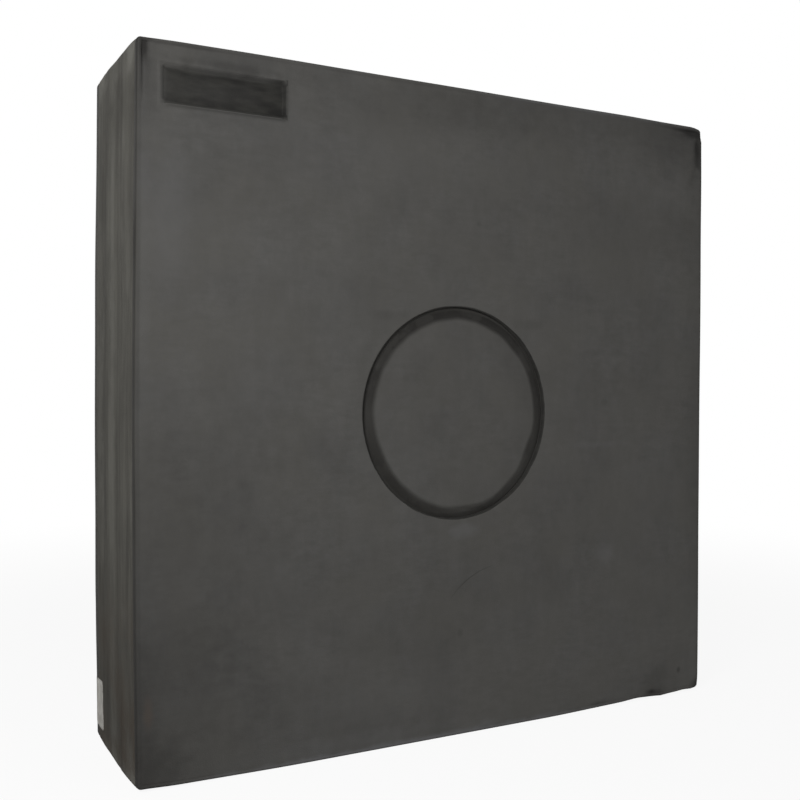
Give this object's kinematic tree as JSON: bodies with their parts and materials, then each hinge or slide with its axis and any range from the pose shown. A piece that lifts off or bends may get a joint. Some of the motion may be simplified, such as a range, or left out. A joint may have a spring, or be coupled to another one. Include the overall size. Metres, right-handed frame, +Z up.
{
  "type": "archery target boss",
  "caption": "Free-standing square archery target boss of bonded foam layers, with a round core in its middle that pushes out for replacement and a plain pressed panel in one corner.",
  "frame": {"origin": "under the middle of the block, on the surface that it stands on", "axes": "+Z up, -Y out of the target face towards the archer, +X to the archer's right; the label is on the -X side"},
  "size_m": [0.8003, 0.2, 0.8],
  "materials": {
    "facing_foam": "matt charcoal skin of closed-cell polyethylene foam, slightly mottled",
    "slab_foam": "matt, warmer grey cut edge of the same foam",
    "core_facing_foam": "matt charcoal foam skin, darker on the rolled shoulder",
    "core_foam": "matt charcoal foam",
    "label_paper": "worn pale grey label, blank"
  },
  "bodies": {
    "block": {"face_sheet": "facing_foam", "front_slab": "slab_foam", "middle_slab": "slab_foam", "rear_slab": "slab_foam", "back_sheet": "facing_foam", "stock_label": "label_paper"},
    "core": {"core_face_disc": "core_facing_foam", "core_front_disc": "core_foam", "core_middle_disc": "core_foam", "core_rear_disc": "core_foam", "core_back_disc": "core_facing_foam"}
  },
  "joints": [
    {"name": "core_slide", "type": "slide", "parent": "block", "child": "core", "axis": [0, -1, 0], "range_m": [-0.22, 0.22]}
  ]
}
